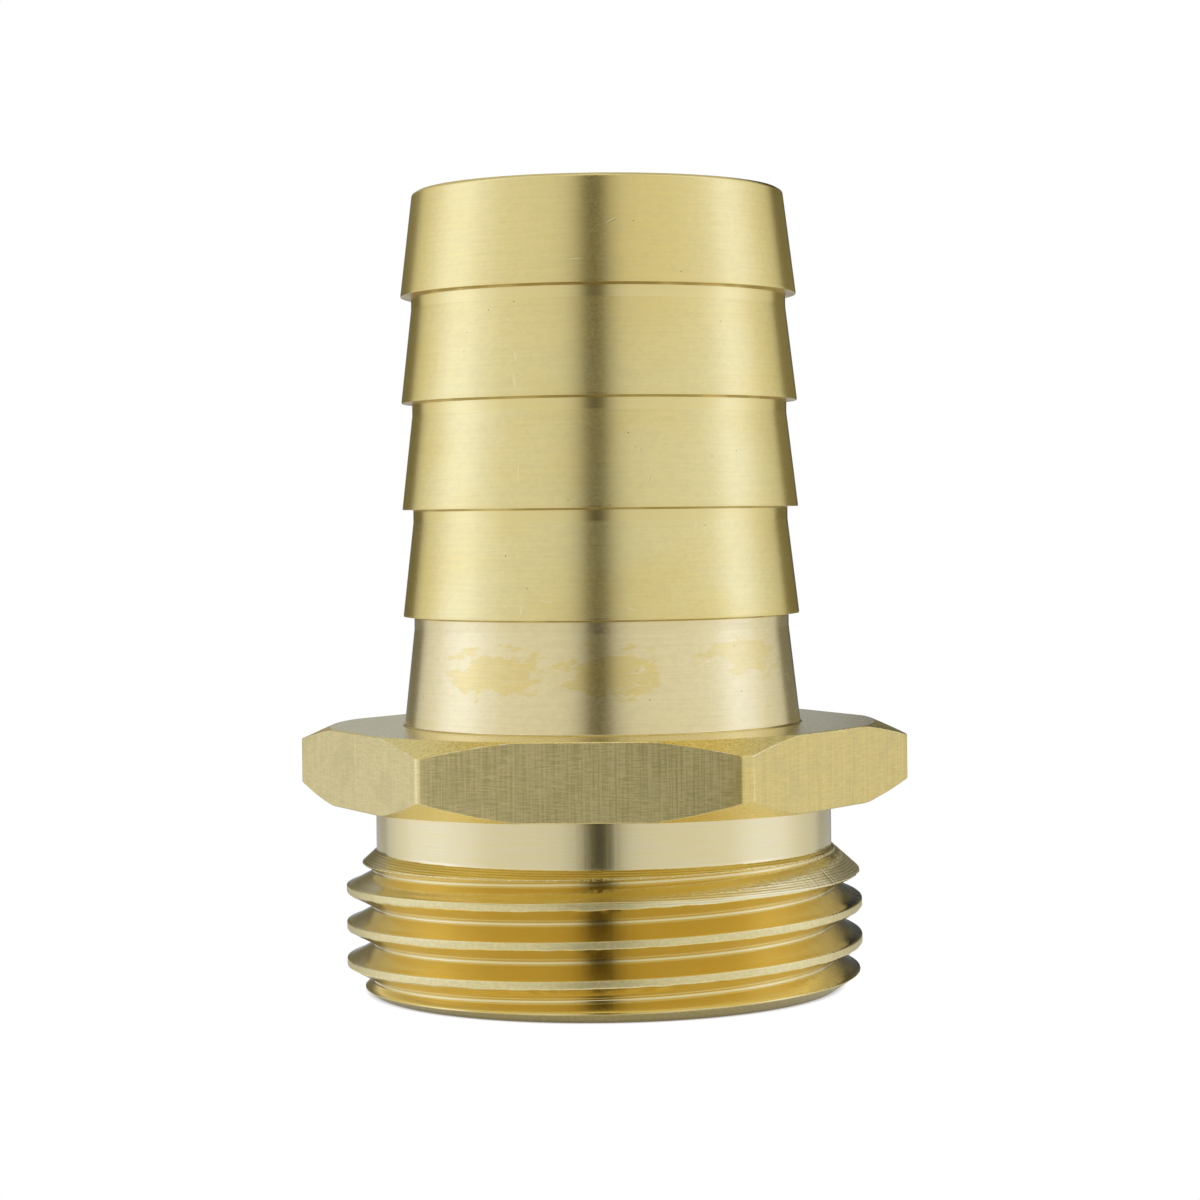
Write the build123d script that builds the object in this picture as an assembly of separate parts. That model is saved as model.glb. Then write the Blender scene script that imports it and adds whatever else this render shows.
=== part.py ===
"""Hose barb tail with a male parallel pipe thread, turned from one piece of brass.

Bottom to top: a G 1 thread with a chamfered end, a relief neck, a chamfered hexagon for a spanner, and a
tail of saw-tooth barbs that a 25 mm hose is pushed over. One bore runs right through.

Frame: +Z runs up the bore from the thread to the hose end. The origin is the centre of the thread's end
face, on which the part stands. The hexagon has a flat facing -Y and corners on the X axis. Sizes are in
millimetres and angles in degrees.
"""

from build123d import *
from math import radians, tan
import os

# Male thread: parallel pipe thread of 55 degree form, right-hand, 11 threads to the inch
threads_per_inch = 11
thread_major_diameter = 32.9
thread_flank_angle = 55.0
thread_crest_width = 0.4
thread_root_width = 0.16
thread_start_angle = 72.0
thread_end_diameter = 29.7
thread_end_chamfer = 1.05
thread_shoulder_angle = 48.0

# Heights above the thread's end face
neck_start = 9.0
hexagon_underside = 12.0
hexagon_top = 16.8

# Relief neck between the thread and the hexagon
neck_diameter = 29.06

# Hexagon: corners turned to one diameter, then chamfered from the same circle on each face
across_flats = 34.0
hexagon_corner_diameter = 38.82
hexagon_face_circle = 34.8
hexagon_top_chamfer_angle = 24.0
hexagon_underside_chamfer_angle = 29.5

# Tail: four stepped barbs above a lowest cone that runs down to the hexagon
barb_count = 4
barb_pitch = 6.78
lowest_cone_height = 6.94
tip_cone_height = 6.66
barb_crest_diameter = 25.28
barb_valley_diameter = 23.94
barb_valley_length = 0.8
barb_crest_land = 0.15
tail_tip_diameter = 23.74
tail_tip_break = 0.3
tail_root_flare = 0.2

# Bore
bore_diameter = 20.5
bore_mouth_chamfer = 0.5

# Worked out from the sizes above
thread_pitch = 25.4 / threads_per_inch
thread_radius = thread_major_diameter / 2
flank_slope = tan(radians(thread_flank_angle / 2))
thread_depth = (thread_pitch - thread_crest_width - thread_root_width) / 2 / flank_slope
thread_root_radius = thread_radius - thread_depth
neck_radius = neck_diameter / 2
shoulder_slope = tan(radians(thread_shoulder_angle))
shoulder_height = (thread_radius - neck_radius) / shoulder_slope
groove_top = neck_start - max(0, thread_root_radius - neck_radius) / shoulder_slope
lowest_step = hexagon_top + lowest_cone_height
step_heights = [lowest_step + n * barb_pitch for n in range(barb_count)]
tail_tip = step_heights[-1] + tip_cone_height
crest_radius = barb_crest_diameter / 2
valley_radius = barb_valley_diameter / 2
tip_radius = tail_tip_diameter / 2


def turned_body():
    """The round outside, solid to its axis: thread blank, neck and barbed tail."""
    thread_and_neck = [
        (0, 0),
        (thread_end_diameter / 2, 0),
        (thread_radius, thread_end_chamfer),
        (thread_radius, neck_start - shoulder_height),
        (neck_radius, neck_start),
        (neck_radius, hexagon_top),
    ]
    tail_root = [(crest_radius + tail_root_flare, hexagon_top), (crest_radius, hexagon_top + tail_root_flare)]
    barbs = []
    for height in step_heights:
        barbs += [
            (valley_radius, height - barb_valley_length),
            (valley_radius, height),
            (crest_radius, height),
            (crest_radius, height + barb_crest_land),
        ]
    tip = [(tip_radius, tail_tip - tail_tip_break), (tip_radius - tail_tip_break, tail_tip), (0, tail_tip)]
    outline = Polyline(*thread_and_neck, *tail_root, *barbs, *tip, close=True)
    return revolve(Plane.XZ * make_face(outline), Axis.Z)


def hexagon():
    """The spanner hexagon, chamfered at both faces by cones."""
    corner_radius = hexagon_corner_diameter / 2
    face_radius = hexagon_face_circle / 2
    top_drop = (corner_radius - face_radius) * tan(radians(hexagon_top_chamfer_angle))
    underside_rise = (corner_radius - face_radius) * tan(radians(hexagon_underside_chamfer_angle))
    half_outline = [
        (0, hexagon_underside),
        (face_radius, hexagon_underside),
        (corner_radius, hexagon_underside + underside_rise),
        (corner_radius, hexagon_top - top_drop),
        (face_radius, hexagon_top),
        (0, hexagon_top),
    ]
    turned = revolve(Plane.XZ * make_face(Polyline(*half_outline, close=True)), Axis.Z)
    bar = extrude(RegularPolygon(across_flats / 2, 6, major_radius=False), hexagon_top)
    return turned & bar


def groove_turn():
    """One turn of the right-hand helical groove, its centre line starting at the origin's height."""
    clear_of_crest = thread_crest_width / 4
    half_root = thread_root_width / 2
    half_outside = half_root + (thread_depth + clear_of_crest) * flank_slope
    section = Polyline(
        (thread_root_radius, -half_root),
        (thread_radius + clear_of_crest, -half_outside),
        (thread_radius + clear_of_crest, half_outside),
        (thread_root_radius, half_root),
        close=True,
    )
    path = Helix(thread_pitch, thread_pitch, thread_radius)
    return sweep(Plane.XZ * make_face(section), path, is_frenet=True)


def cut_thread(blank):
    """Cuts the groove turn by turn, from clear below the end face until its root leaves the shoulder."""
    below_end = 0.56 * thread_pitch
    turn = Rot(0, 0, thread_start_angle - 360 * below_end / thread_pitch) * groove_turn()
    height = -below_end
    while height < groove_top:
        cut = blank - Pos(0, 0, height) * turn
        if cut.volume >= blank.volume:
            raise ValueError("a turn of the thread groove removed nothing")
        blank = cut
        height += thread_pitch
    return blank


def bore():
    """The through bore with a chamfer at each mouth."""
    radius = bore_diameter / 2
    mouth = radius + bore_mouth_chamfer
    half_outline = [
        (0, 0),
        (mouth, 0),
        (radius, bore_mouth_chamfer),
        (radius, tail_tip - bore_mouth_chamfer),
        (mouth, tail_tip),
        (0, tail_tip),
    ]
    return revolve(Plane.XZ * make_face(Polyline(*half_outline, close=True)), Axis.Z)


hose_tail = cut_thread(turned_body()) + hexagon() - bore()

os.makedirs("parts", exist_ok=True)
export_step(hose_tail, "parts/hose_tail.step")
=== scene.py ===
import math

import bpy
import numpy as np
from mathutils import Matrix, Vector, noise


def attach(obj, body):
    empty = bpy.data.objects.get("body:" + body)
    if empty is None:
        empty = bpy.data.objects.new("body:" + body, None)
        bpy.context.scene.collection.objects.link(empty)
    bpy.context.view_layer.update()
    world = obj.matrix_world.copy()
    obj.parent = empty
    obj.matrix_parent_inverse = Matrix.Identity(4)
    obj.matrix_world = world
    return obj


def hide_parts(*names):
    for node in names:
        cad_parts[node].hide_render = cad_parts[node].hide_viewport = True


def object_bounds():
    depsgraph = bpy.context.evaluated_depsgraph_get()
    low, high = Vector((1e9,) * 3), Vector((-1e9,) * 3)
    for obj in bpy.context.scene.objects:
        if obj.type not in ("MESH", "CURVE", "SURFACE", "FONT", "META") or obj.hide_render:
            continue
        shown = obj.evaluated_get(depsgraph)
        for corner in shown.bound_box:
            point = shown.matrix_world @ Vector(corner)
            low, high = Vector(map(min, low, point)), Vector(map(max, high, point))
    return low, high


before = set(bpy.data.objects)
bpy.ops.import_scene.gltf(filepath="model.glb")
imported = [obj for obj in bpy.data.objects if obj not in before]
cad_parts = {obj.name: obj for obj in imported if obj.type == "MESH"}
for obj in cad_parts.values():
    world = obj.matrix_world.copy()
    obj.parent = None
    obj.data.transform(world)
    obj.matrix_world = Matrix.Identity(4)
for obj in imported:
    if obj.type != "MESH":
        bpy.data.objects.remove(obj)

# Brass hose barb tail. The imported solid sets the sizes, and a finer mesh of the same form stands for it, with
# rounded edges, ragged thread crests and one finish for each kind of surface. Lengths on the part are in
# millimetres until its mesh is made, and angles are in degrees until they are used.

cad_low, cad_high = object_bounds()
MM = 0.001

# Sizes of the turned body, the same as in the part's source
THREAD_PITCH = 25.4 / 11
THREAD_RADIUS = 16.45
THREAD_CREST_WIDTH = 0.4
THREAD_ROOT_WIDTH = 0.16
FLANK_SLOPE = math.tan(math.radians(27.5))
THREAD_START_ANGLE = 72.0
THREAD_END_RADIUS = 14.85
THREAD_END_CHAMFER = 1.05
NECK_START = 9.0
NECK_RADIUS = 14.53
SHOULDER_SLOPE = math.tan(math.radians(48.0))
HEXAGON_UNDERSIDE = 12.0
HEXAGON_TOP = 16.8
HEXAGON_FACE_RADIUS = 17.4
HEXAGON_TOP_SLOPE = math.tan(math.radians(24.0))
HEXAGON_UNDERSIDE_SLOPE = math.tan(math.radians(29.5))
BARB_COUNT = 4
BARB_PITCH = 6.78
LOWEST_CONE_HEIGHT = 6.94
CREST_RADIUS = 12.64
VALLEY_RADIUS = 11.97
VALLEY_LENGTH = 0.8
CREST_LAND = 0.15
TIP_RADIUS = 11.87
TIP_BREAK = 0.3
BORE_RADIUS = 10.25
BORE_CHAMFER = 0.5

# Sizes that only this mesh has: the flare at the tail's foot, the height of the break at its tip, the line of
# painted shade in the corner under each step, and the one corner of the hexagon that is turned to a larger
# radius
ROOT_FLARE = 0.1
TIP_BREAK_HEIGHT = 0.18
CORNER_LINE = 0.12
NARROW_CORNER = 4
NARROW_CORNER_RADIUS = 19.56

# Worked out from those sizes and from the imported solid
FLAT_DISTANCE = cad_high.y / MM
CORNER_RADIUS = cad_high.x / MM
TIP_HEIGHT = cad_high.z / MM
CORNER_RADII = [NARROW_CORNER_RADIUS if n == NARROW_CORNER else CORNER_RADIUS for n in range(6)]
THREAD_DEPTH = (THREAD_PITCH - THREAD_CREST_WIDTH - THREAD_ROOT_WIDTH) / 2 / FLANK_SLOPE
THREAD_ROOT_RADIUS = THREAD_RADIUS - THREAD_DEPTH
SHOULDER_START = NECK_START - (THREAD_RADIUS - NECK_RADIUS) / SHOULDER_SLOPE
LOWEST_STEP = HEXAGON_TOP + LOWEST_CONE_HEIGHT
STEP_HEIGHTS = [LOWEST_STEP + n * BARB_PITCH for n in range(BARB_COUNT)]

# The thread's uneven edges: how deep the lower edges of its crests are torn, how far the upper ones are
# rolled over the groove, between which distances from the groove's centre line each sets in, and the last
# full turn of the groove
TEAR_DEPTH = 0.05
CREST_ROLL = 0.1
TORN_EDGE = (0.6, 0.9)
ROLLED_EDGE = (0.75, 0.85)
LAST_TURN = 3

# Feed lines left by the tool on the shoulder above the thread: the height where they start and their spacing.
# A little higher, the edges of the crests start to be torn and bright.
FEED_START = 6.9
FEED_SPACING = 0.13
THREAD_TEAR_START = 7.3

# Mesh density
THREAD_COLUMNS = 400
TAIL_COLUMNS = 192
ARC_STEPS = 3

# Distances of the thread's rows from the groove's centre line, closest at its root and the crests' edges
ROW_DISTANCES = [
    0.0, 0.06, 0.095, 0.14, 0.21, 0.29, 0.37, 0.45, 0.53, 0.61,
    0.69, 0.76, 0.81, 0.85, 0.89, 0.93, 0.97, 1.02, 1.08,
]

# Surface zones, one finish each
ZONES = [
    "thread", "neck", "face", "chamfer", "edge", "flat", "tail", "lowest_cone", "valley", "corner", "tip",
    "bore", "end_face",
]


def rise(value, start, end):
    """0 up to start, 1 from end on, and straight between them."""
    return np.clip((value - start) / (end - start), 0, 1)


def add_object(name, data):
    """A new object in the scene."""
    made = bpy.data.objects.new(name, data)
    bpy.context.scene.collection.objects.link(made)
    return made


class Body:
    """Collects the points and faces of the turned body, with a zone for each face."""

    def __init__(self):
        self.points = np.zeros((0, 3))
        self.faces = []
        self.zones = []

    def add_points(self, angle, radius, height):
        """Adds points given round the axis and returns their numbers, in the arrays' own shape."""
        angle, radius, height = np.broadcast_arrays(angle, radius, height)
        placed = np.stack([radius * np.cos(angle), radius * np.sin(angle), height], axis=-1)
        first = len(self.points)
        self.points = np.concatenate([self.points, placed.reshape(-1, 3)])
        return first + np.arange(angle.size).reshape(angle.shape)

    def add_faces(self, corners, zone):
        """Adds faces, without the repeated corners of those that end in a point."""
        for face in np.asarray(corners).tolist():
            distinct = [c for n, c in enumerate(face) if c != face[n - 1]]
            if len(set(distinct)) >= 3:
                self.faces.append(distinct)
                self.zones.append(zone)

    def band(self, angles, radius, height, zones):
        """Rows of points joined all the way round. Gives back the first and the last row."""
        rows = self.add_points(angles[None, :], radius, height)
        after = np.roll(rows, -1, axis=1)
        for n, zone in enumerate(zones):
            quads = np.stack([rows[n], after[n], after[n + 1], rows[n + 1]], axis=-1)
            self.add_faces(quads, zone)
        return rows[0], rows[-1]

    def stitch(self, lower, lower_angles, upper, upper_angles, zone):
        """Triangles between two rings that have different numbers of points."""
        lower_ends = np.append(lower_angles[1:], 2 * math.pi)
        upper_ends = np.append(upper_angles[1:], 2 * math.pi)
        i = j = 0
        triangles = []
        while i < len(lower) or j < len(upper):
            here = lower[i % len(lower)]
            above = upper[j % len(upper)]
            if j == len(upper) or (i < len(lower) and lower_ends[i] <= upper_ends[j]):
                i += 1
                triangles.append([here, lower[i % len(lower)], above])
            else:
                j += 1
                triangles.append([here, upper[j % len(upper)], above])
        self.add_faces(triangles, zone)


def profile(corners, rounding, runs):
    """Points along an outline whose corners are rounded. rounding has a radius and a zone for each inner
    corner, where 0 leaves it sharp, and runs has a zone and a number of steps for each straight run. Gives
    back the points and the zones of the steps between them."""
    corners = [np.array(c, float) for c in corners]
    arcs = [[corners[0]]]
    for before, corner, after, (radius, _) in zip(corners, corners[1:], corners[2:], rounding):
        to_before = (before - corner) / np.linalg.norm(before - corner)
        to_after = (after - corner) / np.linalg.norm(after - corner)
        half_turn = math.acos(max(-1.0, min(1.0, -to_before @ to_after))) / 2
        reach = radius * math.tan(half_turn)
        shares = np.linspace(0, 1, ARC_STEPS + 1 if radius else 1)
        arcs.append([
            corner + to_before * reach * (1 - s) ** 2 + to_after * reach * s ** 2
            for s in shares
        ])
    arcs.append([corners[-1]])
    arc_zones = [None] + [zone for _, zone in rounding]
    points = []
    zones = []
    for arc, arc_zone, next_arc, (zone, steps) in zip(arcs, arc_zones, arcs[1:], runs):
        points += arc
        zones += [arc_zone] * (len(arc) - 1)
        shares = np.linspace(0, 1, steps + 1)
        points += [arc[-1] + (next_arc[0] - arc[-1]) * s for s in shares[1:-1]]
        zones += [zone] * steps
    points.append(corners[-1])
    return np.array(points), zones


def blank_radius(height):
    """The thread zone before its groove is cut: end chamfer, crests and shoulder."""
    heights = [0, THREAD_END_CHAMFER, SHOULDER_START, NECK_START]
    radii = [THREAD_END_RADIUS, THREAD_RADIUS, THREAD_RADIUS, NECK_RADIUS]
    return np.interp(height, heights, radii)


def groove_place(angle, height):
    """Height above the nearest turn of the groove's centre line."""
    centre = THREAD_PITCH * (angle - math.radians(THREAD_START_ANGLE)) / (2 * math.pi)
    return (height - centre + THREAD_PITCH / 2) % THREAD_PITCH - THREAD_PITCH / 2


def groove_radius(angle, height, ragged):
    """The radius that the groove leaves. The lower edges of its crests are torn a little by the tool, and
    the upper ones are rolled over it."""
    place = groove_place(angle, height)
    lower_edge = rise(place, *TORN_EDGE)
    upper_edge = rise(-place, *ROLLED_EDGE)
    distance = np.abs(place) + ragged * lower_edge + CREST_ROLL * upper_edge
    return THREAD_ROOT_RADIUS + np.maximum(0, distance - THREAD_ROOT_WIDTH / 2) / FLANK_SLOPE


def tear(angle, height):
    """Uneven tearing along the thread, in millimetres, the same on both sides of the mesh's seam."""
    stretch = 0.6
    coarse = 1.1
    fine = 3.1
    fine_share = 0.7
    rough = np.zeros(angle.shape)
    for index in np.ndindex(angle.shape):
        a = angle[index]
        spot = Vector((THREAD_RADIUS * math.cos(a), THREAD_RADIUS * math.sin(a), stretch * height[index]))
        rough[index] = noise.noise(spot * coarse) + fine_share * noise.noise(spot * fine)
    return TEAR_DEPTH * rough


def add_thread(body):
    """The threaded end, in rows that follow the helix. Gives back its columns and its lowest and its
    highest ring."""
    turns = range(-1, 6)
    snap = 0.02
    root_rounding = 0.02
    crest_rounding = 0.06
    below = [-d for d in reversed(ROW_DISTANCES[1:])]
    offsets = np.array(below + ROW_DISTANCES + [THREAD_PITCH / 2])
    rows_per_turn = len(offsets)
    angles = np.linspace(0, 2 * math.pi, THREAD_COLUMNS, endpoint=False)
    start = -THREAD_PITCH * THREAD_START_ANGLE / 360
    row_starts = np.concatenate([offsets + start + turn * THREAD_PITCH for turn in turns])
    heights = row_starts[:, None] + THREAD_PITCH * angles[None, :] / (2 * math.pi)
    # Rows outside the thread fall on its lowest or highest ring
    kept = (heights > snap) & (heights < NECK_START - snap)
    around = np.broadcast_to(angles[None, :], heights.shape)[kept]
    ragged = tear(around, heights[kept])
    from_root = np.abs(groove_place(around, heights[kept]))
    # The radius is averaged over a short reach, which rounds the edges of the root and the crests
    reach = np.interp(from_root, [0.3, 0.5], [root_rounding, crest_rounding])
    samples = [heights[kept] + share * reach for share in (-1, -0.5, 0, 0.5, 1)]
    total = sum(np.minimum(blank_radius(h), groove_radius(around, h, ragged)) for h in samples)
    radius = total / len(samples)
    end_radius = np.minimum(THREAD_END_RADIUS, groove_radius(angles, 0 * angles, 0))
    lowest = body.add_points(angles, end_radius, 0)
    highest = body.add_points(angles, NECK_RADIUS, NECK_START)
    numbers = np.where(heights <= snap, lowest[None, :], highest[None, :])
    numbers[kept] = body.add_points(around, radius, heights[kept])
    next_turn = np.concatenate([numbers[rows_per_turn:, 0], np.repeat(highest[0], rows_per_turn)])
    next_turn[row_starts + THREAD_PITCH <= snap] = lowest[0]
    numbers = np.concatenate([numbers, next_turn[:, None]], axis=1)
    quads = np.stack([numbers[:-1, :-1], numbers[:-1, 1:], numbers[1:, 1:], numbers[1:, :-1]], axis=-1)
    body.add_faces(quads.reshape(-1, 4), "thread")
    return angles, lowest, highest


def hexagon_angles():
    """Columns round the hexagon, close together at the edges of its narrow turned corners."""
    near_edge = np.array([-1.3, -0.7, -0.35, -0.15, 0, 0.15, 0.35])
    columns_across = 37
    parts = []
    for k, corner in enumerate(CORNER_RADII):
        edge = math.degrees(math.acos(FLAT_DISTANCE / corner))
        next_edge = math.degrees(math.acos(FLAT_DISTANCE / CORNER_RADII[(k + 1) % 6]))
        after = 30 - edge - near_edge[::-1]
        before = 30 + next_edge + near_edge
        across = np.linspace(after[-1], before[0], columns_across + 2)[1:-1]
        parts.append(60 * k + np.concatenate([[0], after, across, before]))
    return np.radians(np.concatenate(parts))


def flat_reach(angles):
    """Distance from the axis to the flat that faces each angle."""
    local = angles % math.radians(60) - math.radians(30)
    return FLAT_DISTANCE / np.cos(local)


def hexagon_radius(angles):
    """Distance from the axis to the hexagon's wall, its corner edges a little rounded."""
    shifts = np.radians([-0.25, 0, 0.25])
    total = 0
    for shift in shifts:
        turned = angles + shift
        nearest = np.round(np.degrees(turned) / 60).astype(int) % 6
        total = total + np.minimum(flat_reach(turned), np.array(CORNER_RADII)[nearest])
    return np.minimum(total / len(shifts), flat_reach(angles))


def add_hexagon(body, start_height, end_radius):
    """The neck and the hexagon with its chamfers. Gives back its columns and its first and last ring."""
    angles = hexagon_angles()
    edge_break = 0.07
    runs = [("neck", 4), ("face", 2), ("face", 2), ("flat", 8), ("chamfer", 2), ("face", 2)]
    rounding = [(0.15, "neck"), (0.07, "face"), (0.07, "flat"), (0.06, "edge"), (0.07, "face")]
    columns = []
    for wall in hexagon_radius(angles):
        beyond = wall - HEXAGON_FACE_RADIUS
        face = min(HEXAGON_FACE_RADIUS, wall - edge_break)
        corners = [
            (NECK_RADIUS, start_height),
            (NECK_RADIUS, HEXAGON_UNDERSIDE),
            (face, HEXAGON_UNDERSIDE),
            (wall, HEXAGON_UNDERSIDE + max(edge_break, beyond * HEXAGON_UNDERSIDE_SLOPE)),
            (wall, HEXAGON_TOP - max(edge_break, beyond * HEXAGON_TOP_SLOPE)),
            (face, HEXAGON_TOP),
            (end_radius, HEXAGON_TOP),
        ]
        points, zones = profile(corners, rounding, runs)
        columns.append(points)
    grid = np.array(columns)
    first, last = body.band(angles, grid[:, :, 0].T, grid[:, :, 1].T, zones)
    return angles, first, last


def add_tail(body, start_radius, end_radius):
    """The tail, the bore and the end face. Gives back its columns and its first and last ring."""
    corners = [(start_radius, HEXAGON_TOP), (CREST_RADIUS + ROOT_FLARE, HEXAGON_TOP)]
    rounding = [(0.1, "valley")]
    runs = [("face", 3)]
    corners.append((CREST_RADIUS, HEXAGON_TOP + ROOT_FLARE))
    rounding.append((0.1, "lowest_cone"))
    # The flare at the foot takes the corner's painted shade
    runs += [("corner", 1), ("lowest_cone", 3)]
    for height in STEP_HEIGHTS:
        valley = "lowest_cone" if height == LOWEST_STEP else "valley"
        corners += [
            (VALLEY_RADIUS, height - VALLEY_LENGTH),
            (VALLEY_RADIUS, height - CORNER_LINE),
            (VALLEY_RADIUS, height),
            (CREST_RADIUS, height),
            (CREST_RADIUS, height + CREST_LAND),
        ]
        # The corner under each step takes painted shade
        rounding += [(0.6, valley), (0, "corner"), (0.03, "corner"), (0.03, "tail"), (0.2, "tail")]
        runs += [(valley, 2), ("corner", 1), ("corner", 2), ("tail", 1), ("tail", 3)]
    mouth = BORE_RADIUS + BORE_CHAMFER
    corners += [
        (TIP_RADIUS, TIP_HEIGHT - TIP_BREAK_HEIGHT),
        (TIP_RADIUS - TIP_BREAK, TIP_HEIGHT),
        (mouth, TIP_HEIGHT),
        (BORE_RADIUS, TIP_HEIGHT - BORE_CHAMFER),
        (BORE_RADIUS, BORE_CHAMFER),
        (mouth, 0),
        (end_radius, 0),
    ]
    rounding += [(0.2, "tip"), (0.1, "tip"), (0.1, "bore"), (0.1, "bore"), (0.1, "bore"), (0.1, "end_face")]
    runs += [("tip", 1), ("tip", 2), ("bore", 1), ("bore", 8), ("bore", 1), ("end_face", 3)]
    points, zones = profile(corners, rounding, runs)
    angles = np.linspace(0, 2 * math.pi, TAIL_COLUMNS, endpoint=False)
    first, last = body.band(angles, points[:, :1], points[:, 1:], zones)
    return angles, first, last


def smooth_normals(points, faces):
    """Normals at the points, weighted by face area so that large faces stay flat beside rounded edges."""
    normals = np.zeros_like(points)
    for count in (3, 4):
        group = np.array([f for f in faces if len(f) == count])
        first = points[group[:, 2]] - points[group[:, 0]]
        second = points[group[:, -1]] - points[group[:, 1]]
        area = np.cross(first, second) / 2
        for corner in range(count):
            np.add.at(normals, group[:, corner], area)
    return normals / np.linalg.norm(normals, axis=1, keepdims=True)


def mark(mesh, name, values):
    """Gives each point of the mesh a value that a finish reads by that name."""
    mesh.attributes.new(name, "FLOAT", "POINT").data.foreach_set("value", values.astype(np.float32))


def mark_thread(mesh, points):
    """Marks the metal that the groove left uncut, the crests, the edges of the groove and its root."""
    uncut_depth = 0.06
    lip_width = 0.2
    root_edge = (0.054, 0.144)
    turn_end = (LAST_TURN, LAST_TURN + 0.02)
    shoulder_angles = (60, 120)
    angle = np.arctan2(points[:, 1], points[:, 0])
    height = points[:, 2]
    blank = blank_radius(height)
    uncut = 1 - rise(blank - np.hypot(points[:, 0], points[:, 1]), 0, uncut_depth)
    turned = np.degrees(angle) % 360
    turn = height / THREAD_PITCH - (turned - THREAD_START_ANGLE) / 360
    plain_shoulder = rise(turn, *turn_end) * rise(turned, *shoulder_angles)
    mark(mesh, "uncut", uncut)
    mark(mesh, "crest", uncut * (1 - plain_shoulder))
    mark(mesh, "lip", 1 - rise(np.abs(groove_radius(angle, height, 0) - blank), 0, lip_width))
    mark(mesh, "root", 1 - rise(np.abs(groove_place(angle, height)), *root_edge))


def make_body():
    """The whole one-piece body as a closed mesh. Narrow rings of triangles join the thread, the hexagon and
    the tail, whose columns differ: on the neck, on the hexagon's top and on the end face."""
    body = Body()
    stitch_width = 0.15
    face_ring = 14.4
    thread_angles, thread_low, thread_high = add_thread(body)
    hexagon, neck_ring, hexagon_ring = add_hexagon(body, NECK_START + stitch_width, face_ring)
    tail, tail_ring, end_ring = add_tail(body, face_ring - stitch_width, THREAD_END_RADIUS - 2 * stitch_width)
    body.stitch(thread_high, thread_angles, neck_ring, hexagon, "neck")
    body.stitch(hexagon_ring, hexagon, tail_ring, tail, "face")
    body.stitch(end_ring, tail, thread_low, thread_angles, "end_face")
    mesh = bpy.data.meshes.new("hose_tail_body")
    mesh.from_pydata((body.points * MM).tolist(), [], body.faces)
    for polygon, zone in zip(mesh.polygons, body.zones):
        polygon.material_index = ZONES.index(zone)
        polygon.use_smooth = True
    mark_thread(mesh, body.points)
    mesh.normals_split_custom_set_from_vertices(smooth_normals(body.points, body.faces).tolist())
    return add_object("brass_hose_tail", mesh)


# Colours of the brass, as light that it reflects
BRASS = (0.87, 0.75, 0.35, 1)
EDGE_TINT = (0.92, 0.85, 0.62, 1)
PALE_BRASS = (0.93, 0.79, 0.41, 1)
FRESH_BRASS = (0.86, 0.76, 0.47, 1)
FLANK_BRASS = (0.84, 0.70, 0.33, 1)
CREST_BRASS = (0.88, 0.77, 0.41, 1)
# Painted shade: the end chamfer's colour, darkened to stand in for the shadowed plinth that it mirrors
END_PAINTED_SHADE = (0.50, 0.40, 0.14, 1)
DEEP_BRASS = (0.86, 0.68, 0.24, 1)
TARNISH = (0.86, 0.66, 0.20, 1)
FLAT_BRASS = (0.97, 0.82, 0.41, 1)
DULL_BRASS = (0.64, 0.57, 0.28, 1)
GRAIN_DARK = (0.84, 0.66, 0.19, 1)
GRAIN_LIGHT = (1.0, 0.86, 0.34, 1)
EDGE_LIGHT = (0.96, 0.87, 0.56, 1)
# Painted highlight for the crest beside the end of the groove
PAINTED_RUN_OUT_HIGHLIGHT = (0.97, 0.89, 0.58, 1)
# Painted shade, used in the corner under each step and between the feed lines on the thread's shoulder
PAINTED_STEP_SHADE = (0.50, 0.36, 0.10, 1)
# Dark dirt for specks and pits, also used as painted shade along the thread's bottom rim
DIRT_AND_SHADE = (0.22, 0.15, 0.05, 1)

# Share of a wall's own colour that is left in the dark lines of its weave
WEAVE_SHADE = (0.71, 0.73, 0.60)

# Radii at which marks are laid out round the tail and round the thread
TAIL_MARKS_RADIUS = 12.3
THREAD_MARKS_RADIUS = 16.0


class Nodes:
    """The node tree of a material or world. Values may be numbers, colours or the outputs of other nodes."""

    def __init__(self, owner):
        owner.use_nodes = True
        self.tree = owner.node_tree

    def node(self, kind, inputs, **settings):
        made = self.tree.nodes.new(kind)
        for name, value in settings.items():
            setattr(made, name, value)
        for name, value in inputs.items():
            self.set(made.inputs[name], value)
        return made

    def set(self, socket, value):
        if isinstance(value, bpy.types.NodeSocket):
            self.tree.links.new(value, socket)
        else:
            socket.default_value = value

    def math(self, operation, a, b=0.0):
        return self.node("ShaderNodeMath", {0: a, 1: b}, operation=operation).outputs[0]

    def times(self, first, *others):
        for other in others:
            first = self.math("MULTIPLY", first, other)
        return first

    def plus(self, first, *others):
        for other in others:
            first = self.math("ADD", first, other)
        return first

    def vector(self, operation, a, b=(0, 0, 0)):
        return self.node("ShaderNodeVectorMath", {0: a, 1: b}, operation=operation).outputs[0]

    def length(self, vector):
        return self.node("ShaderNodeVectorMath", {0: vector}, operation="LENGTH").outputs["Value"]

    def ramp(self, value, low, high, to_low=0.0, to_high=1.0):
        """Smooth step from to_low at low to to_high at high."""
        inputs = {"Value": value, "From Min": low, "From Max": high, "To Min": to_low, "To Max": to_high}
        return self.node("ShaderNodeMapRange", inputs, interpolation_type="SMOOTHSTEP").outputs["Result"]


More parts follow.
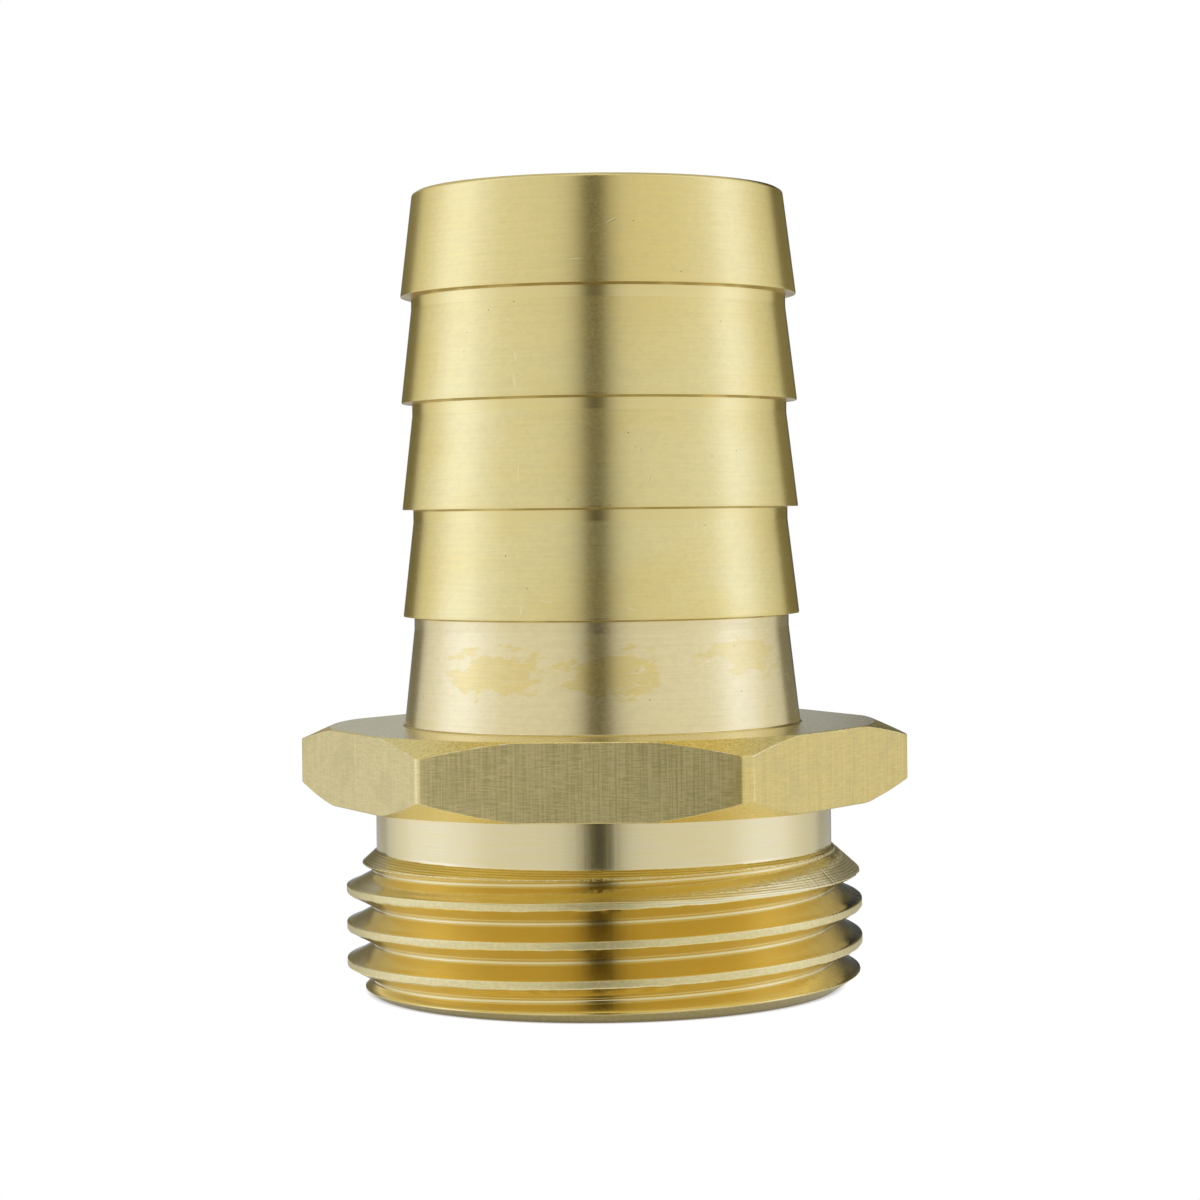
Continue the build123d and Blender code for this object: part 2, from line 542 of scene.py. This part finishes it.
class Finish(Nodes):
    """A brass material being made. x, y and z are the places on the part in millimetres."""

    def __init__(self, name, edge_tint=(1, 1, 1, 1)):
        self.material = bpy.data.materials.new(name)
        super().__init__(self.material)
        self.shader = self.tree.nodes["Principled BSDF"]
        self.shader.inputs["Metallic"].default_value = 1.0
        self.shader.inputs["Specular Tint"].default_value = edge_tint
        coordinates = self.tree.nodes.new("ShaderNodeTexCoord")
        self.place = self.vector("MULTIPLY", coordinates.outputs["Object"], (1 / MM, 1 / MM, 1 / MM))
        parts = self.node("ShaderNodeSeparateXYZ", {0: self.place})
        self.x, self.y, self.z = parts.outputs

    def blend(self, share, a, b):
        """Colour a where share is 0 and b where it is 1."""
        made = self.node("ShaderNodeMix", {}, data_type="RGBA")
        self.set(made.inputs[0], share)
        self.set(made.inputs[6], a)
        self.set(made.inputs[7], b)
        return made.outputs[2]

    def noise(self, stretch, detail=2.0, roughness=0.5, offset=(0, 0, 0)):
        """Noise of about 0 to 1, with stretch features for each millimetre along x, y and z."""
        scaled = self.vector("MULTIPLY", self.place, stretch)
        moved = self.vector("ADD", scaled, offset)
        inputs = {"Vector": moved, "Scale": 1.0, "Detail": detail, "Roughness": roughness}
        return self.node("ShaderNodeTexNoise", inputs).outputs[0]

    def noise_at(self, place, scale):
        """Noise of about 0 to 1 at a place of its own."""
        return self.node("ShaderNodeTexNoise", {"Vector": place, "Scale": scale, "Detail": 2.0}).outputs[0]

    def attribute(self, name):
        return self.node("ShaderNodeAttribute", {}, attribute_name=name).outputs["Fac"]

    def around(self, radius):
        """Distance round the axis from the front, in millimetres, and height, as a flat vector."""
        back = self.times(self.y, -1.0)
        angle = self.math("ARCTAN2", self.x, back)
        length = self.times(angle, radius)
        return self.node("ShaderNodeCombineXYZ", {0: length, 1: self.z}).outputs[0]

    def bearing(self, radius):
        """A place on a circle of that radius at the point's bearing, the same at all heights."""
        level = self.vector("MULTIPLY", self.place, (1, 1, 0))
        return self.vector("MULTIPLY", self.vector("NORMALIZE", level), (radius, radius, radius))

    def spot(self, flat, centre, size, rough):
        """1 inside an oval on a flat vector and 0 outside it, with an edge made uneven by rough."""
        offset = self.vector("SUBTRACT", flat, (*centre, 0))
        scaled = self.vector("DIVIDE", offset, (*size, 1))
        return self.ramp(self.plus(self.length(scaled), rough), 1.1, 0.8)

    def scratches(self, flat, spacing, length, width, share):
        """Thin straight scratches at random angles, on a share of cells that are spacing apart."""
        inputs = {"Vector": flat, "Scale": 1 / spacing, "Randomness": 0.8}
        cells = self.node("ShaderNodeTexVoronoi", inputs, voronoi_dimensions="2D")
        from_centre = self.vector("SUBTRACT", flat, cells.outputs["Position"])
        random = self.node("ShaderNodeSeparateColor", {0: cells.outputs["Color"]}).outputs
        turn = self.times(random[0], math.pi)
        inputs = {"Vector": from_centre, "Angle": turn}
        turned = self.node("ShaderNodeVectorRotate", inputs, rotation_type="Z_AXIS").outputs[0]
        part = self.node("ShaderNodeSeparateXYZ", {0: turned}).outputs
        bow = self.times(part[0], part[0], 0.12)
        across = self.math("ABSOLUTE", self.math("SUBTRACT", part[1], bow))
        along = self.math("ABSOLUTE", part[0])
        reach = self.ramp(random[1], 0.0, 1.0, length * 0.3, length)
        line = self.times(self.ramp(across, width, 0.0), self.ramp(along, reach, 0.0))
        return self.times(line, self.math("LESS_THAN", random[2], share))

    def pits(self, spacing, size, share):
        """Small round spots on a share of cells that are spacing apart."""
        inputs = {"Vector": self.place, "Scale": 1 / spacing}
        cells = self.node("ShaderNodeTexVoronoi", inputs)
        random = self.node("ShaderNodeSeparateColor", {0: cells.outputs["Color"]}).outputs
        spot = self.ramp(cells.outputs["Distance"], size / spacing, size / spacing * 0.4)
        return self.times(spot, self.math("LESS_THAN", random[1], share))

    def relief(self, height, microns):
        """Bump of that height, where a height of 1 stands that many microns proud."""
        inputs = {"Height": height, "Distance": microns * 1e-6, "Strength": 1.0}
        self.set(self.shader.inputs["Normal"], self.node("ShaderNodeBump", inputs).outputs[0])

    def rings(self, scale, distortion):
        """Round tool marks about the axis."""
        inputs = {"Vector": self.place, "Scale": scale, "Distortion": distortion, "Detail": 2.0}
        return self.node("ShaderNodeTexWave", inputs, wave_type="RINGS", rings_direction="Z").outputs[1]

    def grain(self, amount):
        """Brushed or turned marks run round the axis, so reflections spread along it."""
        tangent = self.node("ShaderNodeTangent", {}, direction_type="RADIAL", axis="Z").outputs[0]
        self.set(self.shader.inputs["Tangent"], tangent)
        self.set(self.shader.inputs["Anisotropic"], amount)
        self.set(self.shader.inputs["Anisotropic Rotation"], 0.25)

    def done(self, colour, roughness):
        self.set(self.shader.inputs["Base Color"], colour)
        self.set(self.shader.inputs["Roughness"], roughness)
        return self.material


def turned_satin(f, colour, base_roughness, scratched):
    """Gives a finish faint turning lines, fine mottling, a few scratches and dark specks over that colour."""
    lines = f.noise((0.2, 0.2, 7.0), detail=3)
    fine = f.noise((5.0, 5.0, 9.0), detail=3)
    mottling = f.noise((1.6, 1.6, 2.4), detail=4, roughness=0.7)
    colour = f.blend(f.ramp(lines, 0.35, 0.65, 0.12, 0.0), colour, DULL_BRASS)
    colour = f.blend(f.ramp(mottling, 0.35, 0.6, 0.16, 0.0), colour, DULL_BRASS)
    colour = f.blend(f.ramp(fine, 0.4, 0.65, 0.0, 0.1), colour, EDGE_LIGHT)
    specks = f.pits(0.7, 0.065, 0.12)
    colour = f.blend(f.times(specks, 0.7), colour, DIRT_AND_SHADE)
    marks = f.scratches(f.around(TAIL_MARKS_RADIUS), 2.6, 0.8, 0.05, 0.18 * scratched)
    colour = f.blend(f.times(marks, 0.8), colour, EDGE_LIGHT)
    height = f.plus(f.times(lines, 0.8), f.times(fine, 0.2))
    height = f.math("SUBTRACT", height, f.times(marks, 4.0))
    f.relief(height, 2.0)
    f.grain(0.5)
    roughness = f.ramp(fine, 0.3, 0.7, base_roughness - 0.02, base_roughness + 0.03)
    return f.done(colour, roughness)


def tail_finish(name="brass_tail", base_roughness=0.24, scratched=1.0):
    """Satin cones with clouds of yellow tarnish, stronger on one side towards the hose end."""
    f = Finish(name, EDGE_TINT)
    clouds = f.noise((0.12, 0.12, 0.2), detail=4, offset=(3, 8, 1))
    right_of_front = f.times(f.ramp(f.x, -3.0, 3.0, 0.3, 0.6), f.ramp(f.x, 4.0, 9.0, 1.0, 0.4))
    one_side = f.times(right_of_front, f.ramp(f.z, 36.0, 45.0))
    share = f.math("MAXIMUM", one_side, f.ramp(clouds, 0.4, 0.7, 0.0, 0.45))
    return turned_satin(f, f.blend(share, BRASS, TARNISH), base_roughness, scratched)


# Tarnish stains on the lowest cone: distance round it from the front, height, half width, half height and
# strength
STAINS = [
    (-6.1, 20.5, 4.0, 1.5, 0.7),
    (1.2, 20.6, 3.4, 1.5, 0.75),
    (11.2, 21.4, 3.6, 1.2, 0.5),
]


def lowest_cone_finish():
    """The paler lowest cone, with three tarnish stains that have streaky edges."""
    f = Finish("brass_lowest_cone")
    flat = f.around(TAIL_MARKS_RADIUS)
    uneven = f.noise((0.7, 0.7, 1.6), detail=4, roughness=0.6)
    streaks = f.ramp(f.noise((0.5, 0.5, 7.0), detail=3), 0.35, 0.6, 0.7, 1.0)
    rough = f.ramp(uneven, 0.3, 0.7, -0.4, 0.55)
    stain = 0.0
    for along, height, half_width, half_height, strength in STAINS:
        oval = f.spot(flat, (along, height), (half_width, half_height), rough)
        stain = f.math("MAXIMUM", stain, f.times(oval, strength))
    pale = f.blend(f.ramp(uneven, 0.3, 0.6, 0.6, 0.4), PALE_BRASS, FRESH_BRASS)
    return turned_satin(f, f.blend(f.times(stain, streaks), pale, TARNISH), 0.22, 1.0)


def valley_finish():
    """The narrow brighter turned band under each step."""
    f = Finish("brass_valley", EDGE_TINT)
    lines = f.noise((0.2, 0.2, 12.0), detail=3)
    colour = f.blend(f.ramp(lines, 0.35, 0.65, 0.3, 0.0), BRASS, DEEP_BRASS)
    f.relief(lines, 3.0)
    f.grain(0.4)
    return f.done(colour, 0.2)


def corner_finish():
    """Painted shade: the corner under each step and the flare at the tail's foot, darkened to stand in for the
    shadow there.
    """
    f = Finish("brass_corner")
    rough = f.noise((0.35, 0.35, 0.35), detail=3)
    colour = f.blend(f.ramp(rough, 0.4, 0.7, 0.0, 0.6), PAINTED_STEP_SHADE, DEEP_BRASS)
    f.relief(rough, 3.0)
    return f.done(colour, 0.34)


def neck_finish():
    """Freshly cut pale brass with fine turning lines all round and faint upright chatter marks."""
    f = Finish("brass_neck")
    lines = f.noise((0.25, 0.25, 8.0), detail=5, roughness=0.65)
    ripple = f.noise((2.6, 2.6, 0.1), detail=2)
    colour = f.blend(f.ramp(lines, 0.4, 0.6, 0.4, 0.0), FRESH_BRASS, BRASS)
    height = f.plus(lines, f.times(ripple, 0.4))
    f.relief(height, 7.0)
    f.grain(0.5)
    return f.done(colour, 0.16)


def flat_finish():
    """Drawn bar: upright drawing lines crossed by fine level ones, and dull patches."""
    f = Finish("brass_flat")
    upright = f.noise((7.0, 7.0, 0.15), detail=3, roughness=0.7)
    level = f.noise((1.0, 1.0, 12.0), detail=3, roughness=0.7)
    speckle = f.noise((6.0, 6.0, 6.0), detail=2)
    patch = f.noise((0.35, 0.35, 0.5), detail=4, offset=(4, 4, 9))
    weave = f.plus(upright, level)
    golden = f.blend(f.ramp(f.x, 7.5, 9.5, 0.0, 0.65), FLAT_BRASS, TARNISH)
    shade = f.vector("MULTIPLY", golden, WEAVE_SHADE)
    fainter_at_sides = f.ramp(f.math("ABSOLUTE", f.x), 9.1, 9.5, 1.0, 0.5)
    dark_lines = f.times(f.ramp(weave, 0.86, 1.1, 1.0, 0.0), fainter_at_sides)
    colour = f.blend(dark_lines, golden, shade)
    colour = f.blend(f.ramp(speckle, 0.4, 0.65, 0.25, 0.0), colour, DULL_BRASS)
    colour = f.blend(f.ramp(patch, 0.5, 0.65, 0.0, 0.3), colour, DULL_BRASS)
    colour = f.blend(f.times(f.pits(0.7, 0.06, 0.08), 0.6), colour, DIRT_AND_SHADE)
    f.relief(weave, 5.0)
    f.grain(0.2)
    return f.done(colour, f.ramp(patch, 0.3, 0.7, 0.32, 0.37))


def face_finish():
    """The hexagon's top and underside: turned golden metal with round tool marks."""
    f = Finish("brass_face")
    fine = f.noise((5.0, 5.0, 5.0), detail=3, roughness=0.6)
    rings = f.rings(1.1, 1.5)
    colour = f.blend(f.ramp(fine, 0.4, 0.65, 0.3, 0.0), BRASS, DEEP_BRASS)
    height = f.plus(fine, f.times(rings, 0.15))
    f.relief(height, 7.0)
    return f.done(colour, f.ramp(fine, 0.3, 0.7, 0.26, 0.34))


def chamfer_finish():
    """The hexagon's upper chamfers: coarse golden grain with small dark pits and bright nicks."""
    f = Finish("brass_chamfer")
    coarse = f.noise((5.0, 5.0, 5.0), detail=5, roughness=0.75)
    colour = f.blend(f.ramp(coarse, 0.4, 0.6), GRAIN_DARK, GRAIN_LIGHT)
    colour = f.blend(f.times(f.pits(0.5, 0.08, 0.12), 0.5), colour, DIRT_AND_SHADE)
    f.relief(coarse, 18.0)
    return f.done(colour, f.ramp(coarse, 0.3, 0.7, 0.26, 0.36))


def edge_finish():
    """The hexagon's worn edges with nicks. Their bright patches are partly wear and partly a painted highlight.
    """
    f = Finish("brass_edge")
    coarse = f.noise((1.6, 1.6, 1.6), detail=4, roughness=0.7)
    # Bright patches: partly wear, partly a painted highlight along the edge
    colour = f.blend(f.ramp(coarse, 0.45, 0.6), DEEP_BRASS, EDGE_LIGHT)
    f.relief(coarse, 25.0)
    return f.done(colour, 0.26)


def thread_finish():
    """Smooth golden flanks, rough pale crests, roots painted paler as a highlight and fine turning lines on the
    shoulder, with painted shade on the end chamfer and between the feed lines, and a painted highlight beside
    the groove's end.
    """
    f = Finish("brass_thread")
    lines = f.noise((0.3, 0.3, 9.0), detail=4)
    rough = f.noise((4.0, 4.0, 5.0), detail=4, roughness=0.65)
    smear = f.noise((0.6, 0.6, 3.0), detail=3)
    crest = f.attribute("crest")

    # Flanks, crests and roots, and the end chamfer with painted shade, darkest at its bottom rim
    flank = f.blend(f.ramp(smear, 0.4, 0.7, 0.0, 0.3), FLANK_BRASS, DEEP_BRASS)
    colour = f.blend(f.times(crest, 0.8), flank, CREST_BRASS)
    colour = f.blend(f.times(f.ramp(rough, 0.42, 0.6, 0.4, 0.0), crest), colour, DULL_BRASS)
    # Painted highlight: the groove's root is made paler
    colour = f.blend(f.times(f.attribute("root"), 0.5), colour, FRESH_BRASS)
    end = f.times(crest, f.ramp(f.z, THREAD_END_CHAMFER + 0.07, THREAD_END_CHAMFER - 0.05))
    # Painted shade: the end chamfer is darkened to stand in for the shadowed plinth that it mirrors
    colour = f.blend(f.times(end, f.ramp(rough, 0.4, 0.6, 0.95, 0.75)), colour, END_PAINTED_SHADE)
    # Painted shade: darker towards the bottom rim, next to the plinth
    colour = f.blend(f.times(end, f.ramp(f.z, 0.3, 0.05, 0.0, 0.45)), colour, DIRT_AND_SHADE)
    colour = f.blend(f.times(f.pits(0.8, 0.07, 0.06), 0.6), colour, DIRT_AND_SHADE)

    # Feed lines on the shoulder with painted shade between them, and a painted highlight on the crest beside
    # the end of
    #     # the groove on the right
    waves = f.math("SINE", f.times(f.z, 2 * math.pi / FEED_SPACING))
    shoulder = f.times(f.attribute("uncut"), f.ramp(f.z, FEED_START, FEED_START + 0.4))
    feed = f.times(shoulder, f.ramp(lines, 0.35, 0.6, 0.3, 1.0))
    # Painted highlight: the crest beside the groove's end is made paler, on the right only
    run_out_highlight = f.times(crest, f.ramp(f.x, 1.0, 7.0), f.ramp(f.z, FEED_START - 0.2, FEED_START + 0.1))
    colour = f.blend(f.times(run_out_highlight, 0.9), colour, PAINTED_RUN_OUT_HIGHLIGHT)
    # Painted shade: dark colour between the feed lines
    colour = f.blend(f.times(feed, f.ramp(waves, 0.3, -0.6, 0.0, 0.7)), colour, PAINTED_STEP_SHADE)

    # Torn bright edges of the highest crests
    high = f.ramp(f.z, THREAD_TEAR_START, THREAD_TEAR_START + 0.3)
    torn = f.times(f.attribute("lip"), high, f.ramp(rough, 0.48, 0.56))
    colour = f.blend(torn, colour, EDGE_LIGHT)

    # Relief of all of these, with strokes across the flanks that are deepest at the right
    strokes = f.times(f.noise_at(f.bearing(THREAD_MARKS_RADIUS), 2.6), f.ramp(f.x, 11.0, 14.0, 1.0, 20.0))
    height = f.plus(f.times(lines, 1.2), strokes, f.times(torn, 12.0), f.times(waves, feed, 2.0))
    f.relief(f.plus(height, f.times(rough, crest, 8.0)), 2.5)
    return f.done(colour, f.plus(f.times(crest, 0.17), 0.15))


def turned_face_finish(name, colour, roughness):
    """Faced or bored surfaces with round feed marks."""
    f = Finish(name)
    rings = f.rings(1.6, 0.6)
    lines = f.noise((0.3, 0.3, 5.0), detail=4)
    fine = f.noise((6.0, 6.0, 6.0), detail=2)
    shade = f.blend(f.ramp(lines, 0.35, 0.65, 0.3, 0.0), colour, DULL_BRASS)
    height = f.plus(f.times(rings, 0.5), f.plus(lines, fine))
    f.relief(height, 3.0)
    return f.done(shade, roughness)


def make_finishes():
    """One material for each zone, in the order of ZONES."""
    return [
        thread_finish(),
        neck_finish(),
        face_finish(),
        chamfer_finish(),
        edge_finish(),
        flat_finish(),
        tail_finish(),
        lowest_cone_finish(),
        valley_finish(),
        corner_finish(),
        tail_finish("brass_tip", 0.26, 0.0),
        turned_face_finish("brass_bore", BRASS, 0.3),
        turned_face_finish("brass_end", BRASS, 0.28),
    ]


# Camera, from the outline and edges in the photograph. Its place and lens are in millimetres.
CAMERA_PLACE = (13.95, -194.57, 30.05)
CAMERA_TURN = 3.4
CAMERA_ROLL = -0.63
CAMERA_LENS = 91.3
CAMERA_SHIFT = (-0.0315, -0.0708)


def add_camera():
    """The photograph's camera, level apart from a slight roll."""
    data = bpy.data.cameras.new("camera")
    data.lens = CAMERA_LENS
    data.shift_x, data.shift_y = CAMERA_SHIFT
    data.clip_start = 0.01
    camera = add_object("camera", data)
    turn = Matrix.Rotation(math.radians(CAMERA_TURN), 4, "Z")
    level = Matrix.Rotation(math.radians(90), 4, "X")
    roll = Matrix.Rotation(math.radians(CAMERA_ROLL), 4, "Z")
    camera.matrix_world = Matrix.Translation(Vector(CAMERA_PLACE) * MM) @ turn @ level @ roll
    bpy.context.scene.camera = camera


# The light tent round the set. Bearings are in degrees from the middle of its gap for the camera, and heights
# and the radius are in metres. From the gap the light rises to bright sides and falls to dark cards behind,
# of which the right one is darker at its far end.
TENT_RADIUS = 0.5
TENT_GAP_TURN = -2.4
TENT_BEARINGS = [0, 4, 9, 14, 20, 30, 55, 72, 85, 97, 112, 126, 134, 138, 166, 170]
TENT_LEVELS = [0.03, 0.05, 0.48, 0.62, 0.69, 0.72, 0.76, 0.86, 1.06, 1.0, 0.80, 0.68, 0.60, 0.19, 0.19, 0.42]
RIGHT_CARD_BEARINGS = [150, 163, 165, 176]
RIGHT_CARD_LEVELS = [0.19, 0.19, 0.09, 0.09]

# What is added at each height: behind, where the cards are, and at the gap
TENT_HEIGHTS = [-1.5, -0.30, -0.05, 0.01, 0.06, 0.10, 0.20, 0.30, 0.40, 2.0]
LEFT_LIFT = [0.34, 0.34, 0.30, -0.05, -0.03, -0.03, 0.22, 0.43, 0.43, 0.43]
RIGHT_LIFT = [0.34, 0.34, 0.30, -0.04, 0.0, 0.02, -0.14, -0.13, 0.43, 0.43]
GAP_LIFT = [0.0, 0.0, 0.0, 0.0, 0.03, 0.11, 0.12, 0.04, 0.04, 0.04]
CARD_BEARING = 130
BEHIND_LIMIT = 0.62
GAP_BEARING = 9

# How the two sides differ, how bright they are at each height, and a bright patch high on the right
SIDE_BEARINGS = (60, 128)
LEFT_GAIN = 1.03
RIGHT_GAIN = 0.96
UPPER_GAIN = [1.0, 1.0, 1.0, 1.0, 1.05, 1.05, 1.06, 1.05, 1.0, 1.0]
UPPER_GAIN_START = 15
SIDE_LIMIT = [0.86, 0.86, 0.88, 1.1, 1.1, 1.1, 1.1, 1.1, 1.1, 1.1]
HIGH_RIGHT_BEARINGS = [92, 105, 140, 150]
HIGH_RIGHT_LIFT = [0.0, 0.25, 0.25, 0.0]
HIGH_START = 0.35

# Tints of the brightest and the darkest light, the levels between which they set in, and that of the back
COOL_LIGHT = (1.0, 1.06, 1.35)
COOL_LEVELS = (0.78, 1.03)
WARM_DARK = (1.08, 1.0, 0.68)
DARK_LEVELS = (0.2, 0.4)
COOL_BACK = (0.93, 1.02, 1.24)
BACK_BEARING = 167


def tent_light(bearing, height):
    """The colour of the tent's light at that bearing and height."""
    on_right = bearing > 0
    bearing = abs(bearing)
    level = np.interp(bearing, TENT_BEARINGS, TENT_LEVELS)
    if SIDE_BEARINGS[0] < bearing < SIDE_BEARINGS[1]:
        level *= RIGHT_GAIN if on_right else LEFT_GAIN
    if UPPER_GAIN_START < bearing < SIDE_BEARINGS[1]:
        level *= np.interp(height, TENT_HEIGHTS, UPPER_GAIN)
    if on_right and RIGHT_CARD_BEARINGS[0] < bearing < RIGHT_CARD_BEARINGS[-1]:
        level = np.interp(bearing, RIGHT_CARD_BEARINGS, RIGHT_CARD_LEVELS)
    if bearing > CARD_BEARING:
        lift = RIGHT_LIFT if on_right else LEFT_LIFT
        level = min(BEHIND_LIMIT, level + np.interp(height, TENT_HEIGHTS, lift))
    if on_right and height > HIGH_START:
        level += np.interp(bearing, HIGH_RIGHT_BEARINGS, HIGH_RIGHT_LIFT)
    if bearing < GAP_BEARING:
        level += np.interp(height, TENT_HEIGHTS, GAP_LIFT) * (1 - bearing / GAP_BEARING)
    level = min(level, np.interp(height, TENT_HEIGHTS, SIDE_LIMIT))
    cool = rise(level, *COOL_LEVELS)
    dark = 1 - rise(level, *DARK_LEVELS)
    tint = 1 + cool * (np.array(COOL_LIGHT) - 1) + dark * (np.array(WARM_DARK) - 1)
    if bearing > BACK_BEARING:
        tint = np.array(COOL_BACK)
    return [*(level * tint), 1]


class Glow(Nodes):
    """The node tree of something that gives light, started from an empty one."""

    def __init__(self, owner):
        super().__init__(owner)
        self.tree.nodes.clear()

    def seen_directly(self):
        """1 for rays from the camera, from gloss and through glass, and 0 for the rest."""
        path = self.node("ShaderNodeLightPath", {}).outputs
        seen_or_mirrored = self.math("MAXIMUM", path["Is Camera Ray"], path["Is Glossy Ray"])
        return self.math("MAXIMUM", seen_or_mirrored, path["Is Transmission Ray"])


def add_tent():
    """A curved screen round the set, from below the plinth to well above the part. Metal and plinth see it,
    and the camera doesn't."""
    bearings = np.linspace(-180, 180, 361)
    front = math.atan2(CAMERA_PLACE[0], -CAMERA_PLACE[1]) + math.radians(TENT_GAP_TURN)
    points = []
    lights = []
    for height in TENT_HEIGHTS:
        for bearing in bearings:
            angle = front + math.radians(bearing)
            points.append((TENT_RADIUS * math.sin(angle), -TENT_RADIUS * math.cos(angle), height))
            lights += tent_light(bearing, height)
    count = len(bearings)
    faces = [
        (row + n, row + n + 1, row + count + n + 1, row + count + n)
        for row in range(0, count * (len(TENT_HEIGHTS) - 1), count)
        for n in range(count - 1)
    ]
    mesh = bpy.data.meshes.new("light_tent")
    mesh.from_pydata(points, [], faces)
    light = mesh.attributes.new("light", "FLOAT_COLOR", "POINT")
    light.data.foreach_set("color", lights)
    tent = add_object("light_tent", mesh)
    material = bpy.data.materials.new("light_tent")
    f = Glow(material)
    shade = f.node("ShaderNodeAttribute", {}, attribute_name="light").outputs["Color"]
    glow = f.node("ShaderNodeEmission", {"Color": shade}).outputs[0]
    f.node("ShaderNodeOutputMaterial", {"Surface": glow})
    mesh.materials.append(material)
    tent.visible_camera = False


def add_world():
    """White where it is seen, and a plain fill elsewhere."""
    fill = 0.7
    world = bpy.data.worlds.new("studio")
    bpy.context.scene.world = world
    f = Glow(world)
    inputs = {"Value": f.seen_directly(), "To Min": fill, "To Max": 1.0}
    level = f.node("ShaderNodeMapRange", inputs).outputs["Result"]
    background = f.node("ShaderNodeBackground", {"Color": (1, 1, 1, 1), "Strength": level}).outputs[0]
    f.node("ShaderNodeOutputWorld", {"Surface": background})


# The plinth in metres. The fades give two distances from the axis and the plinth's level at each, once as metal
# sees it and once as the camera does. They paint a contact shadow: the plinth's glow is turned down close to
# the part.
PLINTH_RADIUS = 0.0185
PLINTH_THICKNESS = 0.004
METAL_PAINTED_SHADOW = (0.0150, PLINTH_RADIUS, 0.36, 0.85)
CAMERA_PAINTED_SHADOW = (0.0146, 0.0156, 0.3, 0.97)
PLINTH_GREY = (0.3, 0.3, 0.3, 1)


def plinth_material():
    """White like the background where it is seen, and grey under the light, so that it keeps the shadow. Close
    to the part its glow fades to a painted contact shadow.
    """
    material = bpy.data.materials.new("plinth")
    f = Glow(material)
    from_axis = f.length(f.node("ShaderNodeTexCoord", {}).outputs["Object"])
    by_camera = f.node("ShaderNodeLightPath", {}).outputs["Is Camera Ray"]
    # Painted contact shadow: the glow fades towards the axis, once as metal sees it and once as the camera does
    levels = {0: by_camera, 2: f.ramp(from_axis, *METAL_PAINTED_SHADOW), 3: f.ramp(from_axis, *CAMERA_PAINTED_SHADOW)}
    level = f.node("ShaderNodeMix", levels).outputs[0]
    glow = f.node("ShaderNodeEmission", {"Strength": f.times(f.seen_directly(), level)}).outputs[0]
    surface = f.node("ShaderNodeBsdfDiffuse", {"Color": PLINTH_GREY}).outputs[0]
    both = f.node("ShaderNodeAddShader", {0: glow, 1: surface}).outputs[0]
    f.node("ShaderNodeOutputMaterial", {"Surface": both})
    return material


def add_plinth():
    """A small round white plinth. Its edge is close to the part, so that the low surfaces mirror the tent."""
    corners = 96
    turns = [math.tau * n / corners for n in range(corners)]
    ring = [(PLINTH_RADIUS * math.cos(turn), PLINTH_RADIUS * math.sin(turn)) for turn in turns]
    points = [(x, y, 0) for x, y in ring] + [(x, y, -PLINTH_THICKNESS) for x, y in ring]
    faces = [tuple(range(corners)), tuple(reversed(range(corners, 2 * corners)))]
    for n in range(corners):
        after = (n + 1) % corners
        faces.append((after, n, corners + n, corners + after))
    mesh = bpy.data.meshes.new("plinth")
    mesh.from_pydata(points, [], faces)
    mesh.materials.append(plinth_material())
    add_object("plinth", mesh)


hose_tail = make_body()
for finish in make_finishes():
    hose_tail.data.materials.append(finish)
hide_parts("hose_tail")
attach(hose_tail, "root")

add_camera()
add_tent()
add_world()
add_plinth()
bpy.context.scene.view_settings.view_transform = "Standard"
